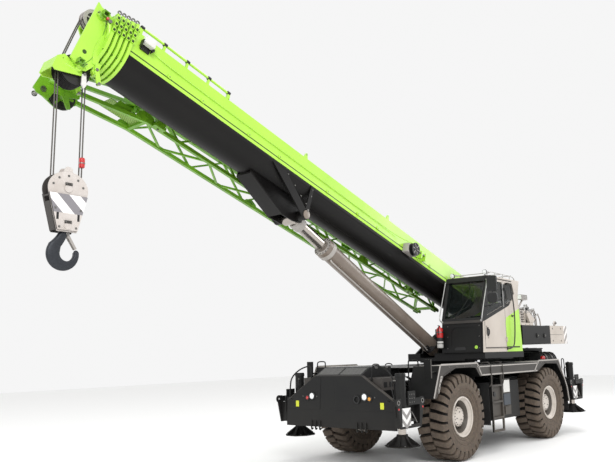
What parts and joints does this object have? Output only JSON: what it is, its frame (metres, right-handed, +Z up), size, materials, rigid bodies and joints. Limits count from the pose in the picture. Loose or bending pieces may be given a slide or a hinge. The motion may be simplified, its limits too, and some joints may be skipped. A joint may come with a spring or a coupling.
{
  "type": "mobile crane",
  "caption": "Rough-terrain mobile crane with a telescopic boom, side cab, stowed lattice jib, hook block, steered axles and outriggers.",
  "frame": {"origin": "on the ground, at the middle of the machine's length and width with the boom short", "axes": "+X to the front, +Y to the left (the cab's side), +Z up"},
  "size_m": [15.0957, 3.6982, 7.5005],
  "materials": {
    "lime": "gloss",
    "charcoal": "satin",
    "warm_grey": "gloss",
    "rim_grey": "satin",
    "cylinder_grey": "satin",
    "rod_chrome": "polished",
    "tread": "matte",
    "window": "clear",
    "trim": "matte",
    "forged": "rough",
    "rope": "dull"
  },
  "bodies": {
    "carrier": {"chassis_frame": "charcoal", "front_cover": "charcoal", "fenders_deck": "charcoal", "engine_block": "charcoal", "engine_hood": "charcoal", "front_axle": "charcoal", "rear_axle": "charcoal", "ladders_boxes": "charcoal", "carrier_fittings": "trim"},
    "superstructure": {"turntable": "charcoal", "counterweight": "warm_grey", "hoist_winches": "charcoal", "power_housing": "warm_grey", "cab_shell": "warm_grey", "cab_glass": "window", "cab_interior": "trim", "cab_fittings": "trim"},
    "cab_door": {"cab_door": "warm_grey", "cab_door_glass": "window"},
    "boom": {"boom_base": "lime", "boom_fittings": "charcoal", "jib": "lime", "jib_sheave": "forged"},
    "boom_section_2": {"boom_section_2": "lime"},
    "boom_section_3": {"boom_section_3": "lime"},
    "boom_section_4": {"boom_section_4": "lime"},
    "boom_head": {"boom_head": "lime", "head_sheaves": "forged"},
    "lift_barrel": {"lift_barrel": "cylinder_grey"},
    "lift_rod": {"lift_rod": "rod_chrome"},
    "hoist_falls": {"hoist_falls": "rope"},
    "hook_block": {"hook_block": "warm_grey"},
    "hook": {"hook": "forged"},
    "knuckle_front_left": {"knuckle_front_left": "charcoal"},
    "wheel_front_left": {"rim_front_left": "rim_grey", "tyre_front_left": "tread"},
    "outrigger_beam_front_left": {"outrigger_beam_front_left": "charcoal"},
    "outrigger_jack_front_left": {"outrigger_jack_front_left": "charcoal"},
    "knuckle_front_right": {"knuckle_front_right": "charcoal"},
    "wheel_front_right": {"rim_front_right": "rim_grey", "tyre_front_right": "tread"},
    "outrigger_beam_front_right": {"outrigger_beam_front_right": "charcoal"},
    "outrigger_jack_front_right": {"outrigger_jack_front_right": "charcoal"},
    "knuckle_rear_left": {"knuckle_rear_left": "charcoal"},
    "wheel_rear_left": {"rim_rear_left": "rim_grey", "tyre_rear_left": "tread"},
    "outrigger_beam_rear_left": {"outrigger_beam_rear_left": "charcoal"},
    "outrigger_jack_rear_left": {"outrigger_jack_rear_left": "charcoal"},
    "knuckle_rear_right": {"knuckle_rear_right": "charcoal"},
    "wheel_rear_right": {"rim_rear_right": "rim_grey", "tyre_rear_right": "tread"},
    "outrigger_beam_rear_right": {"outrigger_beam_rear_right": "charcoal"},
    "outrigger_jack_rear_right": {"outrigger_jack_rear_right": "charcoal"}
  },
  "joints": [
    {"name": "slew", "type": "hinge", "parent": "carrier", "child": "superstructure", "pos_m": [-2.947, 0, 1.95], "axis": [0, 0, 1], "continuous": true},
    {"name": "cab_door_swing", "type": "hinge", "parent": "superstructure", "child": "cab_door", "pos_m": [-3.087, 1.544, 3], "axis": [0, 0, 1], "range_deg": [0, 90]},
    {"name": "luff", "type": "hinge", "parent": "superstructure", "child": "boom", "pos_m": [-4.597, 0, 3], "axis": [0, -1, 0], "range_deg": [-4, 61.8]},
    {"name": "lift_swing", "type": "hinge", "parent": "superstructure", "child": "lift_barrel", "pos_m": [-2.347, 0, 2.25], "axis": [0, -1, 0], "range_deg": [-4.28, 66.13]},
    {"name": "lift_extend", "type": "slide", "parent": "lift_barrel", "child": "lift_rod", "axis": [0.8855, 0, 0.4646], "range_m": [-0.155, 2.3935]},
    {"name": "telescope_2", "type": "slide", "parent": "boom", "child": "boom_section_2", "axis": [0.95, 0, 0.3123], "range_m": [0, 8.2]},
    {"name": "telescope_3", "type": "slide", "parent": "boom_section_2", "child": "boom_section_3", "axis": [0.95, 0, 0.3123], "range_m": [0, 8.2]},
    {"name": "telescope_4", "type": "slide", "parent": "boom_section_3", "child": "boom_section_4", "axis": [0.95, 0, 0.3123], "range_m": [0, 8.2]},
    {"name": "telescope_5", "type": "slide", "parent": "boom_section_4", "child": "boom_head", "axis": [0.95, 0, 0.3123], "range_m": [0, 8.2]},
    {"name": "falls_swing", "type": "hinge", "parent": "boom_head", "child": "hoist_falls", "pos_m": [7.16796, 0, 6.37337], "axis": [0, -1, 0], "range_deg": [-61.8, 4]},
    {"name": "hoist", "type": "slide", "parent": "hoist_falls", "child": "hook_block", "axis": [0, 0, 1], "range_m": [-2.4, 1.1], "deforming": ["hoist_falls"]},
    {"name": "hook_swivel", "type": "hinge", "parent": "hook_block", "child": "hook", "pos_m": [7.16796, 0, 4.11], "axis": [0, 0, 1], "continuous": true},
    {"name": "steer_front_left", "type": "hinge", "parent": "carrier", "child": "knuckle_front_left", "pos_m": [-0.797, 1.02, 0.875], "axis": [0, 0, 1], "range_deg": [-22, 22]},
    {"name": "steer_front_right", "type": "hinge", "parent": "carrier", "child": "knuckle_front_right", "pos_m": [-0.797, -1.02, 0.875], "axis": [0, 0, 1], "range_deg": [-22, 22]},
    {"name": "steer_rear_left", "type": "hinge", "parent": "carrier", "child": "knuckle_rear_left", "pos_m": [-5.097, 1.02, 0.875], "axis": [0, 0, 1], "range_deg": [-22, 22]},
    {"name": "steer_rear_right", "type": "hinge", "parent": "carrier", "child": "knuckle_rear_right", "pos_m": [-5.097, -1.02, 0.875], "axis": [0, 0, 1], "range_deg": [-22, 22]},
    {"name": "wheel_front_left", "type": "hinge", "parent": "knuckle_front_left", "child": "wheel_front_left", "pos_m": [-0.797, 1.3125, 0.875], "axis": [0, 1, 0], "continuous": true},
    {"name": "wheel_front_right", "type": "hinge", "parent": "knuckle_front_right", "child": "wheel_front_right", "pos_m": [-0.797, -1.3125, 0.875], "axis": [0, 1, 0], "continuous": true},
    {"name": "wheel_rear_left", "type": "hinge", "parent": "knuckle_rear_left", "child": "wheel_rear_left", "pos_m": [-5.097, 1.3125, 0.875], "axis": [0, 1, 0], "continuous": true},
    {"name": "wheel_rear_right", "type": "hinge", "parent": "knuckle_rear_right", "child": "wheel_rear_right", "pos_m": [-5.097, -1.3125, 0.875], "axis": [0, 1, 0], "continuous": true},
    {"name": "outrigger_front_left", "type": "slide", "parent": "carrier", "child": "outrigger_beam_front_left", "axis": [0, 1, 0], "range_m": [0, 2.15]},
    {"name": "outrigger_front_right", "type": "slide", "parent": "carrier", "child": "outrigger_beam_front_right", "axis": [0, -1, 0], "range_m": [0, 2.15]},
    {"name": "outrigger_rear_left", "type": "slide", "parent": "carrier", "child": "outrigger_beam_rear_left", "axis": [0, 1, 0], "range_m": [0, 2.15]},
    {"name": "outrigger_rear_right", "type": "slide", "parent": "carrier", "child": "outrigger_beam_rear_right", "axis": [0, -1, 0], "range_m": [0, 2.15]},
    {"name": "jack_front_left", "type": "slide", "parent": "outrigger_beam_front_left", "child": "outrigger_jack_front_left", "axis": [0, 0, 1], "range_m": [-0.52, 0]},
    {"name": "jack_front_right", "type": "slide", "parent": "outrigger_beam_front_right", "child": "outrigger_jack_front_right", "axis": [0, 0, 1], "range_m": [-0.52, 0]},
    {"name": "jack_rear_left", "type": "slide", "parent": "outrigger_beam_rear_left", "child": "outrigger_jack_rear_left", "axis": [0, 0, 1], "range_m": [-0.52, 0]},
    {"name": "jack_rear_right", "type": "slide", "parent": "outrigger_beam_rear_right", "child": "outrigger_jack_rear_right", "axis": [0, 0, 1], "range_m": [-0.52, 0]}
  ],
  "couplings": [
    {"joint": "lift_swing", "follows": "luff", "ratio": 1.07},
    {"joint": "lift_extend", "follows": "luff", "m_per_rad": 2.2186},
    {"joint": "telescope_3", "follows": "telescope_2", "ratio": 1},
    {"joint": "telescope_4", "follows": "telescope_2", "ratio": 1},
    {"joint": "telescope_5", "follows": "telescope_2", "ratio": 1},
    {"joint": "falls_swing", "follows": "luff", "ratio": -1},
    {"joint": "steer_front_right", "follows": "steer_front_left", "ratio": 1},
    {"joint": "steer_rear_right", "follows": "steer_rear_left", "ratio": 1}
  ]
}
